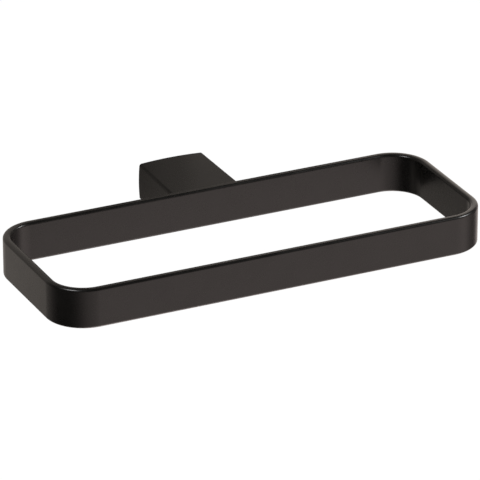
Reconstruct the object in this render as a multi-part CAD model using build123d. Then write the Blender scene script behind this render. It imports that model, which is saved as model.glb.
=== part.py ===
# Towel holder: a closed loop of flat bar on a short hollow post, hung over a bracket on the wall.
# Millimetres. The origin is the middle of the post's wall end, X runs along the wall,
# Y points into the wall and Z is up, so the loop lies on the side of negative Y.
import os

from build123d import *

# Loop of bent flat bar, sizes over the outside; the bar's narrow edges are crowned
loop_length = 222.5
loop_depth = 84.7
bar_height = 20.0
bar_thickness = 4.0
bar_crown = 1.4
loop_corner_radius = 19.2

# Post: a hollow casting, crowned on all four sides, wider and a little lower at the loop than at the wall
post_reach = 38.4
post_wall_width = 34.5
post_loop_width = 36.7
post_loop_height = 18.8
post_wall_crown = 0.65
post_loop_crown = 0.3
post_side_rise = 0.45
post_wall_corner_radius = 1.1
post_loop_corner_radius = 1.7
post_rim_radius = 0.25
post_shell = 3.5
post_front_wall = 6.0
pocket_corner_radius = 2.0
pocket_floor_radius = 1.0

# Bracket: a cast block on the wall, which the post's pocket slides over
bracket_depth = 9.0
bracket_clearance = 0.25
bracket_lead_chamfer = 0.6
wall_hole_spacing = 15.0
wall_hole_diameter = 4.5
wall_hole_countersink = 8.6
groove_depth = 2.4

# Set screw with a cone point, from below
set_screw_diameter = 5.0
set_screw_tip = 1.2
set_screw_recess = 0.5
set_screw_socket = 2.5
set_screw_socket_depth = 2.0
set_screw_seat_clearance = 0.05

# Screws that hold the loop, from inside the post
loop_screw_diameter = 4.0
loop_screw_spacing = 17.5
loop_screw_head_diameter = 7.0
loop_screw_head_height = 4.0
loop_screw_socket = 3.0
loop_screw_socket_depth = 2.0
loop_screw_hole_clearance = 0.25
loop_hole_floor = 1.0
loop_screw_end_gap = 0.6

# Split spring washers under the heads
washer_outer_diameter = 7.6
washer_thickness = 0.9
washer_bore_clearance = 0.1
washer_slit = 0.6
washer_slit_angle = 20.0

# Threads are left plain, with this much room around them
thread_clearance = 0.05

# What follows from the sizes above; distances out are measured from the wall
post_wall_height = bar_height
pocket_width = post_wall_width - 2 * post_shell
pocket_height = post_wall_height - 2 * post_shell
pocket_depth = post_reach - post_front_wall
loop_hole_depth = bar_thickness - loop_hole_floor
loop_screw_places = (-loop_screw_spacing / 2, loop_screw_spacing / 2)
loop_screw_seat = pocket_depth - washer_thickness
loop_screw_end = post_reach + loop_hole_depth - loop_screw_end_gap

# The bracket hangs from the pocket's roof, with room at its sides and below
bracket_width = pocket_width - 2 * bracket_clearance
bracket_top = pocket_height / 2
bracket_bottom = bracket_clearance - pocket_height / 2
wall_hole_places = (-wall_hole_spacing / 2, wall_hole_spacing / 2)
countersink_depth = (wall_hole_countersink - wall_hole_diameter) / 2

# The set screw's cone sits in the bracket's groove
groove_out = bracket_depth / 2
groove_apex = bracket_bottom + groove_depth
set_screw_top = groove_apex - set_screw_tip / 2 - set_screw_seat_clearance
set_screw_cone = (set_screw_diameter - set_screw_tip) / 2
set_screw_bottom = set_screw_recess - post_wall_height / 2

from_base = (Align.CENTER, Align.CENTER, Align.MIN)


def out_from_wall(distance, x=0.0, z=0.0):
    return Plane.XZ.offset(distance) * Pos(x, z, 0)


def rod(diameter, length):
    return Cylinder(diameter / 2, length, align=from_base)


def hex_socket(across_flats, depth):
    outline = RegularPolygon(across_flats / 2, 6, major_radius=False)
    return extrude(outline, depth)


def bar_section():
    side = bar_thickness / 2
    edge_start = bar_height / 2 - bar_crown
    quarter = Line((side, 0), (side, edge_start))
    quarter += EllipticalCenterArc((0, edge_start), side, bar_crown)
    half = quarter + mirror(quarter, Plane.YZ)
    return make_face((half + mirror(half, Plane.XZ)).edges())


def make_towel_loop():
    bend_line = RectangleRounded(
        loop_length - bar_thickness,
        loop_depth - bar_thickness,
        loop_corner_radius - bar_thickness / 2,
    )
    path = (Pos(0, -post_reach - loop_depth / 2) * bend_line).wire()
    along = path % 0
    start = Plane(origin=path @ 0, x_dir=along.cross(Vector(0, 0, 1)), z_dir=along)
    loop = sweep(start * bar_section(), path)
    for x in loop_screw_places:
        tapped = rod(loop_screw_diameter + 2 * thread_clearance, loop_hole_depth)
        loop -= out_from_wall(post_reach, x) * tapped
    return loop


def post_outline(width, height, crown, corner_radius):
    side = width / 2
    top = height / 2
    corner_x = side - post_side_rise
    corner_z = top - crown
    crowned = make_face(
        [
            ThreePointArc((-corner_x, corner_z), (0, top), (corner_x, corner_z)),
            ThreePointArc((corner_x, corner_z), (side, 0), (corner_x, -corner_z)),
            ThreePointArc((corner_x, -corner_z), (0, -top), (-corner_x, -corner_z)),
            ThreePointArc((-corner_x, -corner_z), (-side, 0), (-corner_x, corner_z)),
        ]
    )
    return fillet(crowned.vertices(), corner_radius)


def make_wall_post():
    wall_outline = post_outline(post_wall_width, post_wall_height, post_wall_crown, post_wall_corner_radius)
    loop_outline = post_outline(post_loop_width, post_loop_height, post_loop_crown, post_loop_corner_radius)
    post = loft([out_from_wall(0) * wall_outline, out_from_wall(post_reach) * loop_outline])
    post = fillet(post.faces().sort_by(Axis.Y)[-1].edges(), post_rim_radius)
    pocket_outline = RectangleRounded(pocket_width, pocket_height, pocket_corner_radius)
    pocket = extrude(out_from_wall(0) * pocket_outline, pocket_depth)
    pocket = fillet(pocket.faces().sort_by(Axis.Y)[0].edges(), pocket_floor_radius)
    post -= pocket
    for x in loop_screw_places:
        hole = rod(loop_screw_diameter + 2 * loop_screw_hole_clearance, post_front_wall)
        post -= out_from_wall(pocket_depth, x) * hole
    tapped = rod(set_screw_diameter + 2 * thread_clearance, post_wall_height / 2)
    return post - Pos(0, -groove_out, -post_wall_height / 2) * tapped


def make_wall_bracket():
    outline = RectangleRounded(bracket_width, bracket_top - bracket_bottom, pocket_corner_radius)
    middle = (bracket_top + bracket_bottom) / 2
    block = extrude(out_from_wall(0, z=middle) * outline, bracket_depth)
    block = chamfer(block.faces().sort_by(Axis.Y)[0].edges(), bracket_lead_chamfer)
    for x in wall_hole_places:
        block -= out_from_wall(0, x) * rod(wall_hole_diameter, bracket_depth)
        countersink = Cone(
            wall_hole_diameter / 2, wall_hole_countersink / 2, countersink_depth, align=from_base
        )
        block -= out_from_wall(bracket_depth - countersink_depth, x) * countersink
    groove = Polyline(
        (-groove_out - groove_depth, bracket_bottom),
        (-groove_out, groove_apex),
        (-groove_out + groove_depth, bracket_bottom),
        close=True,
    )
    return block - extrude(Plane.YZ * make_face(groove), bracket_width / 2, both=True)


def make_set_screw():
    cone_base = set_screw_top - set_screw_cone
    screw = Pos(0, 0, set_screw_bottom) * rod(set_screw_diameter, cone_base - set_screw_bottom)
    screw += Pos(0, 0, cone_base) * Cone(
        set_screw_diameter / 2, set_screw_tip / 2, set_screw_cone, align=from_base
    )
    screw -= Pos(0, 0, set_screw_bottom) * hex_socket(set_screw_socket, set_screw_socket_depth)
    return Pos(0, -groove_out, 0) * screw


def make_loop_screw(x):
    head_back = loop_screw_seat - loop_screw_head_height
    screw = out_from_wall(head_back, x) * rod(loop_screw_head_diameter, loop_screw_head_height)
    screw += out_from_wall(loop_screw_seat, x) * rod(loop_screw_diameter, loop_screw_end - loop_screw_seat)
    return screw - out_from_wall(head_back, x) * hex_socket(loop_screw_socket, loop_screw_socket_depth)


def make_spring_washer(x):
    washer = rod(washer_outer_diameter, washer_thickness)
    washer -= rod(loop_screw_diameter + 2 * washer_bore_clearance, washer_thickness)
    slit = Box(washer_slit, washer_outer_diameter, washer_thickness, align=(Align.CENTER, Align.MIN, Align.MIN))
    return out_from_wall(loop_screw_seat, x) * (washer - Rot(0, 0, washer_slit_angle) * slit)


pieces = {
    "towel_loop": make_towel_loop(),
    "wall_post": make_wall_post(),
    "wall_bracket": make_wall_bracket(),
    "set_screw": make_set_screw(),
    "loop_screws": Compound([make_loop_screw(x) for x in loop_screw_places]),
    "spring_washers": Compound([make_spring_washer(x) for x in loop_screw_places]),
}

os.makedirs("parts", exist_ok=True)
for name, piece in pieces.items():
    export_step(piece, f"parts/{name}.step")
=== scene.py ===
# Towel holder: finishes, modelled pieces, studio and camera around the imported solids. Metres.
import math

import bpy
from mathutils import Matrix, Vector


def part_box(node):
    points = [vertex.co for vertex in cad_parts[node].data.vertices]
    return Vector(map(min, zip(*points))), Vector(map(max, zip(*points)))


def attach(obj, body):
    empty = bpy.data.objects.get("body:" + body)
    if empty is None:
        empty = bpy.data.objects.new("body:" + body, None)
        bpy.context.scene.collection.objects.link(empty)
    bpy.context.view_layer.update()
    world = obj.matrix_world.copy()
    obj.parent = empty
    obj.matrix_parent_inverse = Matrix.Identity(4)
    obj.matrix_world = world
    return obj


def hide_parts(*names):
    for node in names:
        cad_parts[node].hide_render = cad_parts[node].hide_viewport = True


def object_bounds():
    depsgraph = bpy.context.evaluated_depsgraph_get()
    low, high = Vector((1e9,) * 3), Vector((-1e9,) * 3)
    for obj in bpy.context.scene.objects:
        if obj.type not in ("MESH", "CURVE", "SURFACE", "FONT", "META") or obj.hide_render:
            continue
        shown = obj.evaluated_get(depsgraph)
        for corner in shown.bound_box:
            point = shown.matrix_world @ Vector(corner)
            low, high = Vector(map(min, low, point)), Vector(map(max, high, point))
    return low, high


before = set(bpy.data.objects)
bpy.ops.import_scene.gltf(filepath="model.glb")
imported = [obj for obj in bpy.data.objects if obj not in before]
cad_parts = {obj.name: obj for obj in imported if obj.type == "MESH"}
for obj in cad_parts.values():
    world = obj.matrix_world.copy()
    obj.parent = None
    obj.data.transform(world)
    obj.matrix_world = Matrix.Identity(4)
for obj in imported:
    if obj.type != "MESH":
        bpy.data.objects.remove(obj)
cadLow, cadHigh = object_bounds()
mm = 0.001
print("frame loaded:", sorted(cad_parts))

# Places closer than this count as the same
near = 0.01 * mm

# A turn that lays what stands along Z along Y
alongY = (math.radians(90), 0, 0)


# Small helpers for selecting and shaping
def deselectAll():
    if bpy.context.object and bpy.context.object.mode != "OBJECT":
        bpy.ops.object.mode_set(mode="OBJECT")
    bpy.ops.object.select_all(action="DESELECT")


def makeActive(obj):
    deselectAll()
    obj.select_set(True)
    bpy.context.view_layer.objects.active = obj


def selectOnly(obj, kind, test):
    # selects the edges or faces whose middle passes the test, and leaves the mesh in edit mode
    makeActive(obj)
    bpy.ops.object.mode_set(mode="EDIT")
    bpy.ops.mesh.select_mode(type={"edges": "EDGE", "polygons": "FACE"}[kind])
    bpy.ops.mesh.select_all(action="DESELECT")
    bpy.ops.object.mode_set(mode="OBJECT")
    mesh = obj.data
    for part in getattr(mesh, kind):
        if kind == "edges":
            middle = (mesh.vertices[part.vertices[0]].co + mesh.vertices[part.vertices[1]].co) / 2
        else:
            middle = part.center
        part.select = bool(test(part, middle))
    bpy.ops.object.mode_set(mode="EDIT")


def atY(y):
    return lambda part, middle: abs(middle.y - y) < near


def selectEverything(obj):
    makeActive(obj)
    bpy.ops.object.mode_set(mode="EDIT")
    bpy.ops.mesh.select_mode(type="VERT")
    bpy.ops.mesh.select_all(action="SELECT")


def selectSharp(obj, degrees):
    makeActive(obj)
    bpy.ops.object.mode_set(mode="EDIT")
    bpy.ops.mesh.select_mode(type="EDGE")
    bpy.ops.mesh.select_all(action="DESELECT")
    bpy.ops.mesh.edges_select_sharp(sharpness=math.radians(degrees))


def leaveEdit():
    bpy.ops.object.mode_set(mode="OBJECT")


def applyTransform():
    bpy.ops.object.transform_apply(location=True, rotation=True, scale=True)


def applyModifier(obj, modifier):
    makeActive(obj)
    bpy.ops.object.modifier_apply(modifier=modifier.name)


def roundedPlate(name, size, radius, steps, place, turn=(0, 0, 0)):
    # a flat plate with round corners: a plane, set to size, its four corners bevelled
    deselectAll()
    bpy.ops.mesh.primitive_plane_add(size=1, location=place, rotation=turn)
    plate = bpy.context.object
    plate.name = name
    plate.scale = (size[0], size[1], 1)
    applyTransform()
    selectEverything(plate)
    bpy.ops.mesh.bevel(offset=radius, segments=steps, affect="VERTICES", clamp_overlap=False)
    leaveEdit()
    return plate


def extrudeAll(obj, along):
    selectEverything(obj)
    bpy.ops.mesh.extrude_region_move(TRANSFORM_OT_translate={"value": along})
    bpy.ops.mesh.select_all(action="SELECT")
    bpy.ops.mesh.normals_make_consistent(inside=False)
    leaveEdit()


def rod(name, radius, length, steps, place, turn=(0, 0, 0)):
    # a round bar centred on its place, along Z unless it is turned
    deselectAll()
    bpy.ops.mesh.primitive_cylinder_add(
        vertices=steps, radius=radius, depth=length, location=place, rotation=turn
    )
    bar = bpy.context.object
    bar.name = name
    applyTransform()
    return bar


def combine(obj, operation, *others):
    for other in others:
        change = obj.modifiers.new("change", "BOOLEAN")
        change.operation = operation
        change.solver = "EXACT"
        change.object = other
        applyModifier(obj, change)
        bpy.data.objects.remove(other)


def pairUp(obj, spacing):
    # adds a copy of the active piece on the other side of the post's middle
    bpy.ops.object.duplicate()
    second = bpy.context.object
    second.location.x = -spacing
    applyTransform()
    obj.select_set(True)
    bpy.context.view_layer.objects.active = obj
    bpy.ops.object.join()


def smoothOver(obj, degrees):
    makeActive(obj)
    bpy.ops.object.shade_smooth_by_angle(angle=math.radians(degrees))
    flat = obj.modifiers.new("flatFaces", "WEIGHTED_NORMAL")
    flat.keep_sharp = True
    applyModifier(obj, flat)


def placePiece(obj, slot, *nodes):
    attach(obj, "root")
    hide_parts(*nodes)
    corners = [Vector(c) for c in obj.bound_box]
    size = [round((max(c[i] for c in corners) - min(c[i] for c in corners)) / mm, 2) for i in range(3)]
    print("piece", obj.name, "is", size, "mm, faces:", len(obj.data.polygons))


# Finishes: noise over the piece gives the tone, the roughness and a fine grain
def addNode(tree, kind, **values):
    node = tree.nodes.new(kind)
    for name, value in values.items():
        setattr(node, name, value)
    return node


def newMaterial(name):
    material = bpy.data.materials.new(name)
    material.use_nodes = True
    return material, material.node_tree, material.node_tree.nodes["Principled BSDF"]


def addNoise(tree, scale, detail):
    coords = addNode(tree, "ShaderNodeTexCoord")
    noise = addNode(tree, "ShaderNodeTexNoise")
    noise.inputs["Scale"].default_value = scale
    noise.inputs["Detail"].default_value = detail
    tree.links.new(coords.outputs["Object"], noise.inputs["Vector"])
    return noise.outputs["Fac"]


def toneFrom(tree, shader, noise, span, colors):
    tones = addNode(tree, "ShaderNodeValToRGB")
    for element, position, color in zip(tones.color_ramp.elements, span, colors):
        element.position = position
        element.color = color
    tree.links.new(noise, tones.inputs["Fac"])
    tree.links.new(tones.outputs["Color"], shader.inputs["Base Color"])


def roughnessFrom(tree, shader, noise, span, roughness):
    sheen = addNode(tree, "ShaderNodeMapRange")
    sheen.inputs["From Min"].default_value = span[0]
    sheen.inputs["From Max"].default_value = span[1]
    sheen.inputs["To Min"].default_value = roughness[0]
    sheen.inputs["To Max"].default_value = roughness[1]
    tree.links.new(noise, sheen.inputs["Value"])
    tree.links.new(sheen.outputs["Result"], shader.inputs["Roughness"])


def bumpFrom(tree, shader, noise, strength, depth):
    bump = addNode(tree, "ShaderNodeBump")
    bump.inputs["Strength"].default_value = strength
    bump.inputs["Distance"].default_value = depth
    tree.links.new(noise, bump.inputs["Height"])
    tree.links.new(bump.outputs["Normal"], shader.inputs["Normal"])


# Black satin paint, the same on the bar and on the casting
paint = dict(
    colors=((0.0026, 0.0024, 0.0020, 1), (0.0044, 0.0040, 0.0034, 1)),
    roughness=(0.25, 0.30),
    cloudScale=90.0,
    cloudDetail=4,
    cloudSpan=(0.3, 0.7),
    grainScale=2600.0,
    grainDetail=3,
    grainStrength=0.05,
    grainDepth=0.03 * mm,
)


def blackPaint():
    material, tree, shader = newMaterial("blackSatinPaint")
    clouds = addNoise(tree, paint["cloudScale"], paint["cloudDetail"])
    toneFrom(tree, shader, clouds, paint["cloudSpan"], paint["colors"])
    roughnessFrom(tree, shader, clouds, paint["cloudSpan"], paint["roughness"])
    grain = addNoise(tree, paint["grainScale"], paint["grainDetail"])
    bumpFrom(tree, shader, grain, paint["grainStrength"], paint["grainDepth"])
    return material


satinBlack = blackPaint()

# Bare and plated metals of the fixing parts, smoother where they are lighter
metals = dict(
    castZinc=dict(
        colors=((0.36, 0.36, 0.37, 1), (0.52, 0.52, 0.52, 1)),
        metallic=0.9,
        roughness=(0.6, 0.42),
        grainScale=1500.0,
        grainDepth=0.05 * mm,
    ),
    blackSteel=dict(
        colors=((0.010, 0.010, 0.011, 1), (0.030, 0.029, 0.029, 1)),
        metallic=0.7,
        roughness=(0.45, 0.3),
        grainScale=4000.0,
        grainDepth=0.02 * mm,
    ),
    platedSteel=dict(
        colors=((0.50, 0.50, 0.49, 1), (0.66, 0.66, 0.64, 1)),
        metallic=1.0,
        roughness=(0.34, 0.2),
        grainScale=3000.0,
        grainDepth=0.015 * mm,
    ),
)
metalGrain = dict(detail=5, toneSpan=(0.35, 0.65), roughSpan=(0.3, 0.7), strength=0.4)


def metalFinish(name):
    look = metals[name]
    material, tree, shader = newMaterial(name)
    shader.inputs["Metallic"].default_value = look["metallic"]
    grain = addNoise(tree, look["grainScale"], metalGrain["detail"])
    toneFrom(tree, shader, grain, metalGrain["toneSpan"], look["colors"])
    roughnessFrom(tree, shader, grain, metalGrain["roughSpan"], look["roughness"])
    bumpFrom(tree, shader, grain, metalGrain["strength"], look["grainDepth"])
    return material


zincFinish = metalFinish("castZinc")
blackSteelFinish = metalFinish("blackSteel")
platedFinish = metalFinish("platedSteel")
print("finishes ready")

# Loop of bent flat bar
loop = dict(
    barThickness=4.0 * mm,
    cornerRadius=19.2 * mm,
    cornerSteps=28,
    sharpAngle=60,
    crownWidth=1.96 * mm,
    crownHeight=1.4 * mm,
    crownSteps=12,
    screwSpacing=17.5 * mm,
    tappedRadius=2.05 * mm,
    tappedDepth=3.0 * mm,
    tappedSteps=32,
    smoothAngle=35,
)
loopLow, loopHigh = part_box("towel_loop")
loopMiddle = (loopLow + loopHigh) / 2
loopSize = loopHigh - loopLow


def screwDrills(radius, length, steps, middleY):
    # cutters for the two loop screws, in the bar and in the post
    return [
        rod("drill", radius, length, steps, (side * loop["screwSpacing"] / 2, middleY, 0), alongY)
        for side in (-1, 1)
    ]


def makeLoop():
    bar = roundedPlate(
        "loopBar",
        (loopSize.x, loopSize.y),
        loop["cornerRadius"],
        loop["cornerSteps"],
        (loopMiddle.x, loopMiddle.y, loopLow.z),
    )
    selectOnly(bar, "polygons", lambda face, middle: True)
    bpy.ops.mesh.inset(thickness=loop["barThickness"], depth=0)
    bpy.ops.mesh.delete(type="FACE")
    leaveEdit()
    # made taller, given round edges and pressed back to height, which leaves flat crowns on the edges
    stretch = loop["crownWidth"] / loop["crownHeight"]
    extrudeAll(bar, (0, 0, loopSize.z * stretch))
    selectSharp(bar, loop["sharpAngle"])
    bpy.ops.mesh.bevel(offset=loop["crownWidth"], segments=loop["crownSteps"], affect="EDGES")
    bpy.ops.mesh.select_all(action="SELECT")
    bpy.ops.transform.resize(value=(1, 1, 1 / stretch), center_override=(0, 0, loopLow.z))
    leaveEdit()
    drills = screwDrills(loop["tappedRadius"], 2 * loop["tappedDepth"], loop["tappedSteps"], loopHigh.y)
    combine(bar, "DIFFERENCE", *drills)
    smoothOver(bar, loop["smoothAngle"])
    bar.data.materials.append(satinBlack)
    placePiece(bar, "black_paint_bar", "towel_loop")


makeLoop()

# Post: crowned on four sides, wider and a little lower at the loop, hollow from the wall
post = dict(
    wallWidth=34.5 * mm,
    loopWidth=36.7 * mm,
    loopHeight=18.8 * mm,
    wallCrown=0.65 * mm,
    loopCrown=0.3 * mm,
    sideRise=0.45 * mm,
    wallCornerRadius=1.1 * mm,
    loopCornerRadius=1.7 * mm,
    cornerSteps=12,
    sideCuts=19,
    lengthCuts=9,
    rimRadius=0.25 * mm,
    rimSteps=4,
    shell=3.5 * mm,
    frontWall=6.0 * mm,
    pocketMouth=2.0 * mm,
    pocketCornerRadius=2.0 * mm,
    pocketCornerSteps=8,
    pocketFloorRadius=1.0 * mm,
    pocketFloorSteps=5,
    screwHoleRadius=2.25 * mm,
    screwHoleSteps=32,
    setScrewHoleRadius=2.55 * mm,
    setScrewHoleDepth=5.0 * mm,
    setScrewHoleSteps=48,
    setScrewOut=4.5 * mm,
    setScrewLead=0.35 * mm,
    smoothAngle=35,
)
postLow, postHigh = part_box("wall_post")
wallHeight = loopSize.z
postReach = postHigh.y - postLow.y


def postOutline(width, height, crown, radius, out):
    halfWidth = width / 2 - post["sideRise"]
    halfHeight = height / 2 - crown
    outline = roundedPlate(
        "postOutline",
        (2 * halfWidth, 2 * halfHeight),
        radius,
        post["cornerSteps"],
        (0, postHigh.y - out, 0),
        alongY,
    )
    selectEverything(outline)
    bpy.ops.mesh.delete(type="ONLY_FACE")
    leaveEdit()
    mesh = outline.data
    straight = min(halfWidth, halfHeight)

    def isStraight(edge, middle):
        first, second = (mesh.vertices[i].co for i in edge.vertices)
        return (first - second).length > straight

    selectOnly(outline, "edges", isStraight)
    bpy.ops.mesh.subdivide(number_cuts=post["sideCuts"])
    leaveEdit()
    for vertex in mesh.vertices:
        shareX = vertex.co.x / halfWidth
        shareZ = vertex.co.z / halfHeight
        vertex.co.x += math.copysign(post["sideRise"] * (1 - shareZ**2), shareX) * abs(shareX)
        vertex.co.z += math.copysign(crown * (1 - shareX**2), shareZ) * abs(shareZ)
    return outline


def pocketCutter():
    width = post["wallWidth"] - 2 * post["shell"]
    height = wallHeight - 2 * post["shell"]
    depth = postReach - post["frontWall"]
    cutter = roundedPlate(
        "pocketCutter",
        (width, height),
        post["pocketCornerRadius"],
        post["pocketCornerSteps"],
        (0, postHigh.y + post["pocketMouth"], 0),
        alongY,
    )
    extrudeAll(cutter, (0, -depth - post["pocketMouth"], 0))
    selectOnly(cutter, "edges", atY(postHigh.y - depth))
    bpy.ops.mesh.bevel(
        offset=post["pocketFloorRadius"], segments=post["pocketFloorSteps"], affect="EDGES"
    )
    leaveEdit()
    return cutter


def setScrewCutter():
    # the tapped hole from below, flared a little where it opens
    placeY = postHigh.y - post["setScrewOut"]
    radius = post["setScrewHoleRadius"]
    lead = post["setScrewLead"]
    flareZ = postLow.z + lead
    topZ = postLow.z + post["setScrewHoleDepth"]
    drill = rod(
        "setScrewHole",
        radius,
        topZ - flareZ,
        post["setScrewHoleSteps"],
        (0, placeY, (topZ + flareZ) / 2),
    )
    selectOnly(drill, "polygons", lambda face, middle: abs(middle.z - flareZ) < near)
    bpy.ops.mesh.extrude_region_move(TRANSFORM_OT_translate={"value": (0, 0, -2 * lead)})
    wider = (radius + 2 * lead) / radius
    bpy.ops.transform.resize(value=(wider, wider, 1), center_override=(0, placeY, flareZ - 2 * lead))
    leaveEdit()
    return drill


def makePost():
    wallEnd = postOutline(post["wallWidth"], wallHeight, post["wallCrown"], post["wallCornerRadius"], 0)
    loopEnd = postOutline(
        post["loopWidth"], post["loopHeight"], post["loopCrown"], post["loopCornerRadius"], postReach
    )
    makeActive(wallEnd)
    loopEnd.select_set(True)
    bpy.ops.object.join()
    casting = bpy.context.object
    casting.name = "postCasting"
    selectEverything(casting)
    bpy.ops.mesh.bridge_edge_loops(number_cuts=post["lengthCuts"])
    leaveEdit()
    for endY in (postHigh.y, postLow.y):
        selectOnly(casting, "edges", atY(endY))
        bpy.ops.mesh.edge_face_add()
        leaveEdit()
    selectEverything(casting)
    bpy.ops.mesh.normals_make_consistent(inside=False)
    leaveEdit()
    selectOnly(casting, "edges", atY(postHigh.y))
    bpy.ops.mesh.bevel(offset=post["rimRadius"], segments=post["rimSteps"], affect="EDGES")
    leaveEdit()
    screwHoles = screwDrills(
        post["screwHoleRadius"],
        2 * post["frontWall"],
        post["screwHoleSteps"],
        postLow.y + post["frontWall"] / 2,
    )
    combine(casting, "DIFFERENCE", pocketCutter(), *screwHoles, setScrewCutter())
    smoothOver(casting, post["smoothAngle"])
    casting.data.materials.append(satinBlack)
    placePiece(casting, "black_paint_casting", "wall_post")


makePost()

# Bracket: a cast block with two countersunk holes and a groove for the set screw's point
bracket = dict(
    cornerRadius=2.0 * mm,
    cornerSteps=8,
    leadChamfer=0.6 * mm,
    backEdge=0.25 * mm,
    backEdgeSteps=3,
    holeSpacing=15.0 * mm,
    holeRadius=2.25 * mm,
    holeSteps=48,
    countersinkRadius=4.3 * mm,
    grooveDepth=2.4 * mm,
    grooveTurn=45,
    smoothAngle=30,
)
bracketLow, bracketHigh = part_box("wall_bracket")


def wallHoleCutter(x):
    # a drill from the wall side whose far end flares out through the front face
    flare = bracket["countersinkRadius"] - bracket["holeRadius"]
    startY = bracketHigh.y + flare
    seatY = bracketLow.y + flare
    endY = bracketLow.y - flare
    drill = rod(
        "wallHole",
        bracket["holeRadius"],
        startY - seatY,
        bracket["holeSteps"],
        (x, (startY + seatY) / 2, 0),
        alongY,
    )
    selectOnly(drill, "polygons", atY(seatY))
    bpy.ops.mesh.extrude_region_move(TRANSFORM_OT_translate={"value": (0, endY - seatY, 0)})
    wider = (bracket["countersinkRadius"] + flare) / bracket["holeRadius"]
    bpy.ops.transform.resize(value=(wider, 1, wider), center_override=(x, endY, 0))
    leaveEdit()
    return drill


def grooveCutter(length, middle):
    # a square bar on its edge, whose upper half cuts the groove
    width = bracket["grooveDepth"] * math.sqrt(2)
    deselectAll()
    bpy.ops.mesh.primitive_cube_add(
        size=1,
        location=(middle.x, middle.y, bracketLow.z),
        rotation=(math.radians(bracket["grooveTurn"]), 0, 0),
    )
    groove = bpy.context.object
    groove.scale = (length, width, width)
    applyTransform()
    return groove


def makeBracket():
    size = bracketHigh - bracketLow
    middle = (bracketLow + bracketHigh) / 2
    block = roundedPlate(
        "bracketBlock",
        (size.x, size.z),
        bracket["cornerRadius"],
        bracket["cornerSteps"],
        (middle.x, bracketHigh.y, middle.z),
        alongY,
    )
    extrudeAll(block, (0, -size.y, 0))
    for endY, width, steps in (
        (bracketLow.y, bracket["leadChamfer"], 1),
        (bracketHigh.y, bracket["backEdge"], bracket["backEdgeSteps"]),
    ):
        selectOnly(block, "edges", atY(endY))
        bpy.ops.mesh.bevel(offset=width, segments=steps, affect="EDGES")
        leaveEdit()
    drills = [wallHoleCutter(side * bracket["holeSpacing"] / 2) for side in (-1, 1)]
    combine(block, "DIFFERENCE", *drills, grooveCutter(2 * size.x, middle))
    smoothOver(block, bracket["smoothAngle"])
    block.data.materials.append(zincFinish)
    placePiece(block, "cast_zinc", "wall_bracket")


makeBracket()

# Screws: a threaded rod is a finely divided cylinder whose skin follows the helix. The thread's depth
# and flats are parts of its pitch, and the key's drilled point narrows to a part of the socket's width.
screwForm = dict(steps=48, ringsPerTurn=10, depth=0.58, flat=0.15, keyPoint=0.3, smoothAngle=28)


def threadedRod(name, radius, length, pitch, limit):
    # stands on the origin along Z; limit gives the largest radius at a height, for points and lead-ins
    bar = rod(name, radius, length, screwForm["steps"], (0, 0, length / 2))
    mesh = bar.data

    def isUpright(edge, middle):
        first, second = (mesh.vertices[i].co for i in edge.vertices)
        return abs(first.z - second.z) > length / 2

    selectOnly(bar, "edges", isUpright)
    bpy.ops.mesh.subdivide(number_cuts=round(length / pitch * screwForm["ringsPerTurn"]))
    leaveEdit()
    depth = screwForm["depth"] * pitch
    for vertex in mesh.vertices:
        turn = math.atan2(vertex.co.y, vertex.co.x) / math.tau
        flank = abs(2 * ((vertex.co.z / pitch - turn) % 1) - 1)
        cut = (flank - screwForm["flat"]) / (1 - 2 * screwForm["flat"])
        wanted = min(radius - depth * max(0, min(1, cut)), limit(vertex.co.z))
        vertex.co.x *= wanted / radius
        vertex.co.y *= wanted / radius
    return bar


def hexKeyCut(name, acrossFlats, depth, lead):
    # the cutter for a hex socket, opening at the origin and going up along Z, with a drilled point
    corner = acrossFlats / math.sqrt(3)
    key = rod(name, corner, 2 * depth, 6, (0, 0, 0))
    selectOnly(key, "polygons", lambda face, middle: middle.z > depth - near)
    bpy.ops.mesh.extrude_region_move(TRANSFORM_OT_translate={"value": (0, 0, lead)})
    point = screwForm["keyPoint"]
    bpy.ops.transform.resize(value=(point, point, 1), center_override=(0, 0, depth))
    leaveEdit()
    return key


setScrew = dict(
    radius=2.5 * mm,
    tipRadius=0.6 * mm,
    pitch=0.8 * mm,
    keyFlats=2.5 * mm,
    keyDepth=1.7 * mm,
    lead=0.3 * mm,
)
screwLow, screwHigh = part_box("set_screw")


def makeSetScrew():
    length = screwHigh.z - screwLow.z
    coneBase = length - (setScrew["radius"] - setScrew["tipRadius"])

    def limit(z):
        tip = setScrew["radius"] - max(0, z - coneBase)
        start = setScrew["radius"] - max(0, setScrew["lead"] - z)
        return min(tip, start)

    screw = threadedRod("setScrew", setScrew["radius"], length, setScrew["pitch"], limit)
    key = hexKeyCut("key", setScrew["keyFlats"], setScrew["keyDepth"], setScrew["lead"])
    combine(screw, "DIFFERENCE", key)
    middle = (screwLow + screwHigh) / 2
    makeActive(screw)
    screw.location = (middle.x, middle.y, screwLow.z)
    applyTransform()
    smoothOver(screw, screwForm["smoothAngle"])
    screw.data.materials.append(blackSteelFinish)
    placePiece(screw, "black_steel", "set_screw")


makeSetScrew()

# Two socket head screws with knurled heads
loopScrew = dict(
    radius=2.0 * mm,
    headRadius=3.5 * mm,
    headHeight=4.0 * mm,
    headSteps=72,
    headEdge=0.4 * mm,
    headEdgeSteps=4,
    knurlDepth=0.12 * mm,
    pitch=0.7 * mm,
    keyFlats=3.0 * mm,
    keyDepth=1.7 * mm,
    lead=0.3 * mm,
)
loopScrewLow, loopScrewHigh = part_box("loop_screws")


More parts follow.
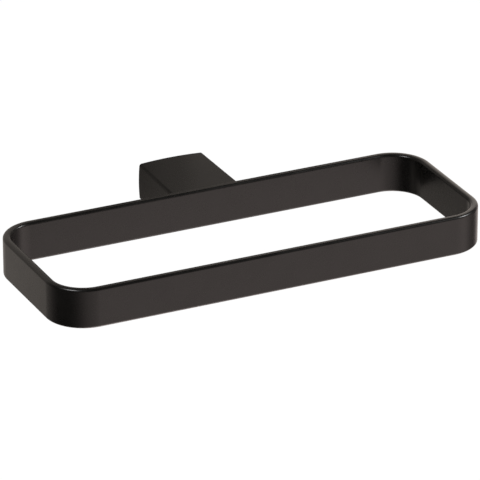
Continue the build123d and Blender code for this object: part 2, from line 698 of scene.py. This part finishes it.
def makeScrewHead():
    height = loopScrew["headHeight"]
    head = rod("loopScrews", loopScrew["headRadius"], height, loopScrew["headSteps"], (0, 0, height / 2))
    selectOnly(head, "edges", lambda edge, middle: middle.z < near)
    bpy.ops.mesh.bevel(offset=loopScrew["headEdge"], segments=loopScrew["headEdgeSteps"], affect="EDGES")
    leaveEdit()
    for vertex in head.data.vertices:
        out = math.hypot(vertex.co.x, vertex.co.y)
        tooth = round(math.atan2(vertex.co.y, vertex.co.x) / math.tau * loopScrew["headSteps"])
        if abs(out - loopScrew["headRadius"]) < near and tooth % 2:
            vertex.co.x *= 1 - loopScrew["knurlDepth"] / out
            vertex.co.y *= 1 - loopScrew["knurlDepth"] / out
    key = hexKeyCut("key", loopScrew["keyFlats"], loopScrew["keyDepth"], loopScrew["lead"])
    combine(head, "DIFFERENCE", key)
    return head


def makeLoopScrews():
    length = loopScrewHigh.y - loopScrewLow.y
    shankLength = length - loopScrew["headHeight"]

    def limit(z):
        return loopScrew["radius"] - max(0, z - (shankLength - 2 * loopScrew["lead"])) / 2

    shank = threadedRod("shank", loopScrew["radius"], shankLength, loopScrew["pitch"], limit)
    makeActive(shank)
    shank.location = (0, 0, loopScrew["headHeight"])
    applyTransform()
    screws = makeScrewHead()
    combine(screws, "UNION", shank)
    # the head faces the wall and the shank runs out into the loop
    screws.rotation_euler = alongY
    screws.location = (loop["screwSpacing"] / 2, loopScrewHigh.y, 0)
    applyTransform()
    pairUp(screws, loop["screwSpacing"])
    smoothOver(screws, screwForm["smoothAngle"])
    screws.data.materials.append(platedFinish)
    placePiece(screws, "plated_steel", "loop_screws")


makeLoopScrews()

# Split washers: a square section spun almost all the way round
washer = dict(
    innerRadius=2.1 * mm,
    outerRadius=3.8 * mm,
    slit=0.6 * mm,
    slitTurn=110,
    steps=72,
    sharpAngle=60,
    edge=0.12 * mm,
    edgeSteps=2,
    smoothAngle=30,
)
washerLow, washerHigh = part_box("spring_washers")


def makeWashers():
    reach = (washer["innerRadius"] + washer["outerRadius"]) / 2
    middleY = (washerLow.y + washerHigh.y) / 2
    opening = washer["slit"] / reach
    deselectAll()
    bpy.ops.mesh.primitive_plane_add(size=1, location=(reach, middleY, 0))
    ring = bpy.context.object
    ring.name = "springWashers"
    ring.scale = (washer["outerRadius"] - washer["innerRadius"], washerHigh.y - washerLow.y, 1)
    applyTransform()
    selectEverything(ring)
    bpy.ops.mesh.spin(
        steps=washer["steps"],
        angle=math.tau - opening,
        center=(0, middleY, 0),
        axis=(0, 1, 0),
        use_auto_merge=False,
    )
    bpy.ops.mesh.select_all(action="SELECT")
    bpy.ops.mesh.normals_make_consistent(inside=False)
    leaveEdit()
    selectSharp(ring, washer["sharpAngle"])
    bpy.ops.mesh.bevel(offset=washer["edge"], segments=washer["edgeSteps"], affect="EDGES")
    leaveEdit()
    makeActive(ring)
    ring.rotation_euler.y = -math.radians(washer["slitTurn"]) - opening / 2
    applyTransform()
    ring.location.x = loop["screwSpacing"] / 2
    applyTransform()
    pairUp(ring, loop["screwSpacing"])
    smoothOver(ring, washer["smoothAngle"])
    ring.data.materials.append(platedFinish)
    placePiece(ring, "plated_steel", "spring_washers")


makeWashers()

# Studio: a pale floor far below, a white world, two soft lamps, and a tent and two cards that only
# reflections see; the tent's and the cards' glow is painted reflection, not lamp light
studio = dict(
    floorDrop=1.2,
    floorSize=14.0,
    floorColor=(1.0, 1.0, 1.0, 1),
    floorRoughness=1.0,
    floorSpecular=0.0,
    worldColor=(1.0, 1.0, 1.0, 1),
    worldStrength=1.0,
    tentRadius=1.0,
    tentSegments=64,
    tentRings=32,
    tentTint=(1.12, 0.96, 0.92),
    wallTint=(1.08, 0.97, 0.88),
)


def reflectionOnly(obj):
    obj.visible_camera = False
    obj.visible_diffuse = False
    obj.visible_transmission = False
    obj.visible_volume_scatter = False
    obj.visible_shadow = False


def glowMaterial(name):
    material, tree, shader = newMaterial(name)
    material.cycles.emission_sampling = "NONE"
    tree.nodes.remove(shader)
    glow = addNode(tree, "ShaderNodeEmission")
    tree.links.new(glow.outputs["Emission"], tree.nodes["Material Output"].inputs["Surface"])
    return material, tree, glow


def tinted(level, tint):
    return tuple(level * channel for channel in tint) + (1,)


def setRamp(ramp, stops, tint):
    ramp.color_ramp.interpolation = "EASE"
    elements = ramp.color_ramp.elements
    for element, (position, level) in zip(elements, (stops[0], stops[-1])):
        element.position = position
        element.color = tinted(level, tint)
    for position, level in stops[1:-1]:
        elements.new(position).color = tinted(level, tint)


def makeFloor():
    deselectAll()
    place = (0, 0, cadLow.z - studio["floorDrop"])
    bpy.ops.mesh.primitive_plane_add(size=studio["floorSize"], location=place)
    floor = bpy.context.object
    floor.name = "floor"
    material, _, shader = newMaterial("paleFloor")
    shader.inputs["Base Color"].default_value = studio["floorColor"]
    shader.inputs["Roughness"].default_value = studio["floorRoughness"]
    shader.inputs["Specular IOR Level"].default_value = studio["floorSpecular"]
    floor.data.materials.append(material)


# Painted reflection: glow round the tent below the horizon, by direction in degrees from straight in
# front towards the right
tentBrightness = (
    (-180, 0.40),
    (-125, 0.25),
    (-110, 0.10),
    (-97, 0.02),
    (-63, 0.02),
    (0, 0.60),
    (20, 0.86),
    (38, 0.94),
    (52, 1.00),
    (86, 0.22),
    (97, 0.13),
    (104, 0.20),
    (113, 0.75),
    (140, 1.00),
    (180, 0.40),
)

# How that brightness changes with height, in tent radii from the middle of the loop
tentHeights = (
    (-0.95, 3.2),
    (-0.75, 1.7),
    (-0.42, 1.0),
    (0.10, 0.95),
    (0.45, 0.08),
    (0.85, 0.02),
    (1.0, 0.01),
)


# the tent glows though it is no lamp: its panels paint a studio's reflections onto the object
def makeTent():
    deselectAll()
    bpy.ops.mesh.primitive_uv_sphere_add(
        segments=studio["tentSegments"],
        ring_count=studio["tentRings"],
        radius=studio["tentRadius"],
        location=loopMiddle,
    )
    tent = bpy.context.object
    tent.name = "tent"
    material, tree, glow = glowMaterial("paintedReflectionTent")
    link = tree.links.new
    coords = addNode(tree, "ShaderNodeTexCoord")
    # turned so that the gradient's middle lies straight in front
    turn = addNode(tree, "ShaderNodeMapping")
    turn.inputs["Rotation"].default_value = (0, 0, math.radians(90))
    link(coords.outputs["Object"], turn.inputs["Vector"])
    around = addNode(tree, "ShaderNodeTexGradient", gradient_type="RADIAL")
    link(turn.outputs["Vector"], around.inputs["Vector"])
    paintedPanels = addNode(tree, "ShaderNodeValToRGB")
    setRamp(paintedPanels, [(angle / 360 + 0.5, level) for angle, level in tentBrightness], studio["tentTint"])
    link(around.outputs["Fac"], paintedPanels.inputs["Fac"])
    link(paintedPanels.outputs["Color"], glow.inputs["Color"])
    height = addNode(tree, "ShaderNodeSeparateXYZ")
    link(coords.outputs["Object"], height.inputs["Vector"])
    level = addNode(tree, "ShaderNodeMapRange")
    level.inputs["From Min"].default_value = -studio["tentRadius"]
    level.inputs["From Max"].default_value = studio["tentRadius"]
    link(height.outputs["Z"], level.inputs["Value"])
    fade = addNode(tree, "ShaderNodeValToRGB")
    setRamp(fade, [((tall + 1) / 2, strength) for tall, strength in tentHeights], (1, 1, 1))
    link(level.outputs["Result"], fade.inputs["Fac"])
    link(fade.outputs["Color"], glow.inputs["Strength"])
    tent.data.materials.append(material)
    reflectionOnly(tent)


# Painted reflection of a wall lit from the right: glow along the wall card, behind the loop and below
# it, by place in metres from the post towards the right; the two blend into each other between two
# heights
paintedWallCard = dict(
    gap=0.004,
    size=0.50,
    cornerSteps=4,
    top=0.061,
    topSlope=0.155,
    blend=(-0.040, -0.052),
    reach=0.2,
)
paintedWallLeft = (
    (-0.20, 0.26),
    (-0.165, 0.33),
    (-0.149, 0.43),
    (-0.135, 0.48),
)
# behind the loop: a painted shadow of the post, darkest just left of it, then painted light growing
# towards the right
wallBehindWithPaintedShadow = paintedWallLeft + (
    (-0.09, 0.48),
    (-0.06, 0.42),
    (-0.04, 0.22),
    (-0.03, 0.16),
    (-0.02, 0.13),
    (0.004, 0.20),
    (0.02, 0.27),
    (0.035, 0.27),
    (0.06, 0.20),
    (0.08, 0.27),
    (0.097, 0.42),
    (0.116, 0.66),
    (0.125, 0.80),
    (0.15, 1.03),
    (0.18, 1.03),
)
# below the loop: a painted shadow under and left of the post, then painted light growing towards the
# right
wallBelowWithPaintedShadow = paintedWallLeft + (
    (-0.12, 0.40),
    (-0.105, 0.06),
    (0.01, 0.06),
    (0.03, 0.16),
    (0.05, 0.27),
    (0.09, 0.32),
    (0.125, 0.80),
    (0.18, 1.03),
)


def rampAcross(tree, place, stops, reach):
    across = addNode(tree, "ShaderNodeMapRange")
    across.inputs["From Min"].default_value = -reach
    across.inputs["From Max"].default_value = reach
    tree.links.new(place.outputs["X"], across.inputs["Value"])
    tones = addNode(tree, "ShaderNodeValToRGB")
    setRamp(tones, [((x / reach + 1) / 2, level) for x, level in stops], studio["wallTint"])
    tree.links.new(across.outputs["Result"], tones.inputs["Fac"])
    return tones.outputs["Color"]


def placeOnCard(tree):
    coords = addNode(tree, "ShaderNodeTexCoord")
    place = addNode(tree, "ShaderNodeSeparateXYZ")
    tree.links.new(coords.outputs["Object"], place.inputs["Vector"])
    return place


def socketCalled(sockets, identifier):
    return next(socket for socket in sockets if socket.identifier == identifier)


def makeWallCard():
    # stands for the wall, with an opening behind the post and a slanted top; its glow is a painted
    # reflection of that wall, with the post's painted shadow on it
    middle = (0, postHigh.y + paintedWallCard["gap"], 0)
    card = roundedPlate(
        "paintedWallCard",
        (post["wallWidth"], wallHeight),
        post["wallCornerRadius"],
        paintedWallCard["cornerSteps"],
        middle,
        alongY,
    )
    selectEverything(card)
    bpy.ops.mesh.delete(type="ONLY_FACE")
    bpy.ops.mesh.select_all(action="SELECT")
    bpy.ops.mesh.extrude_edges_move()
    bpy.ops.transform.resize(
        value=(paintedWallCard["size"] / post["wallWidth"], 1, paintedWallCard["size"] / wallHeight),
        center_override=middle,
    )
    bpy.ops.mesh.select_all(action="SELECT")
    bpy.ops.mesh.bisect(
        plane_co=(0, 0, paintedWallCard["top"]),
        plane_no=(paintedWallCard["topSlope"], 0, 1),
        clear_outer=True,
    )
    leaveEdit()
    material, tree, glow = glowMaterial("paintedWallCard")
    link = tree.links.new
    place = placeOnCard(tree)
    bands = addNode(tree, "ShaderNodeMix", data_type="RGBA")
    for stops, identifier in ((wallBehindWithPaintedShadow, "A_Color"), (wallBelowWithPaintedShadow, "B_Color")):
        link(rampAcross(tree, place, stops, paintedWallCard["reach"]), socketCalled(bands.inputs, identifier))
    lower = addNode(tree, "ShaderNodeMapRange", interpolation_type="SMOOTHSTEP")
    lower.inputs["From Min"].default_value = paintedWallCard["blend"][0]
    lower.inputs["From Max"].default_value = paintedWallCard["blend"][1]
    link(place.outputs["Z"], lower.inputs["Value"])
    link(lower.outputs["Result"], bands.inputs["Factor"])
    link(socketCalled(bands.outputs, "Result_Color"), glow.inputs["Color"])
    card.data.materials.append(material)
    reflectionOnly(card)


# A card further back, seen over the wall card's top, with its brightness by place in the same way: a
# painted reflection of a backdrop, darker behind the middle and brighter towards the right
paintedBackCard = dict(behind=0.30, middle=0.15, width=0.90, bottom=0.05, top=0.77, reach=0.6)
paintedBackTones = (
    (-0.3, 0.35),
    (-0.16, 0.35),
    (-0.10, 0.18),
    (-0.05, 0.20),
    (0.0, 0.12),
    (0.04, 0.06),
    (0.07, 0.12),
    (0.10, 0.30),
    (0.125, 0.44),
    (0.15, 0.54),
    (0.21, 0.64),
    (0.24, 0.80),
    (0.30, 1.05),
    (0.6, 1.00),
)


def makeBackCard():
    deselectAll()
    bpy.ops.mesh.primitive_plane_add(
        size=1,
        location=(paintedBackCard["middle"], paintedBackCard["behind"], (paintedBackCard["bottom"] + paintedBackCard["top"]) / 2),
        rotation=alongY,
    )
    card = bpy.context.object
    card.name = "paintedBackCard"
    card.scale = (paintedBackCard["width"], paintedBackCard["top"] - paintedBackCard["bottom"], 1)
    applyTransform()
    material, tree, glow = glowMaterial("paintedBackCard")
    tones = rampAcross(tree, placeOnCard(tree), paintedBackTones, paintedBackCard["reach"])
    tree.links.new(tones, glow.inputs["Color"])
    card.data.materials.append(material)
    reflectionOnly(card)


# Two soft lamps, by direction and height in degrees, with their distance, size and power
lamps = dict(
    leftLamp=dict(azimuth=-75, elevation=55, distance=0.85, width=0.22, height=0.22, power=2.6),
    rightLamp=dict(azimuth=74, elevation=41, distance=0.85, width=0.14, height=0.12, power=2.4),
)


def direction(azimuth, elevation):
    around = math.radians(azimuth)
    above = math.radians(elevation)
    level = math.cos(above)
    return Vector((math.sin(around) * level, -math.cos(around) * level, math.sin(above)))


def makeLamps():
    for name, lamp in lamps.items():
        outward = direction(lamp["azimuth"], lamp["elevation"])
        deselectAll()
        bpy.ops.object.light_add(type="AREA", location=loopMiddle + outward * lamp["distance"])
        light = bpy.context.object
        light.name = name
        light.rotation_euler = outward.to_track_quat("Z", "Y").to_euler()
        light.data.shape = "RECTANGLE"
        light.data.size = lamp["width"]
        light.data.size_y = lamp["height"]
        light.data.energy = lamp["power"]
        light.visible_camera = False


def makeWorld():
    world = bpy.data.worlds.new("studioWorld")
    world.use_nodes = True
    background = world.node_tree.nodes["Background"]
    background.inputs["Color"].default_value = studio["worldColor"]
    background.inputs["Strength"].default_value = studio["worldStrength"]
    bpy.context.scene.world = world


makeFloor()
makeTent()
makeWallCard()
makeBackCard()
makeLamps()
makeWorld()
print("studio ready")

# Camera at the photograph's angle, aimed a little beside the middle of the loop
photoView = dict(
    azimuth=-25.405,
    elevation=24.5365,
    distance=2.2971,
    lens=364.218,
    aside=-1.0226 * mm,
    upward=-1.0314 * mm,
)


def makeCamera():
    backward = direction(photoView["azimuth"], photoView["elevation"])
    toRight = direction(photoView["azimuth"] + 90, 0)
    upward = backward.cross(toRight)
    aim = loopMiddle + toRight * photoView["aside"] + upward * photoView["upward"]
    deselectAll()
    bpy.ops.object.camera_add(location=aim + backward * photoView["distance"])
    camera = bpy.context.object
    camera.name = "photoCamera"
    camera.rotation_euler = backward.to_track_quat("Z", "Y").to_euler()
    camera.data.lens = photoView["lens"]
    bpy.context.scene.camera = camera


makeCamera()
bpy.context.scene.view_settings.view_transform = "Standard"
print("camera ready")
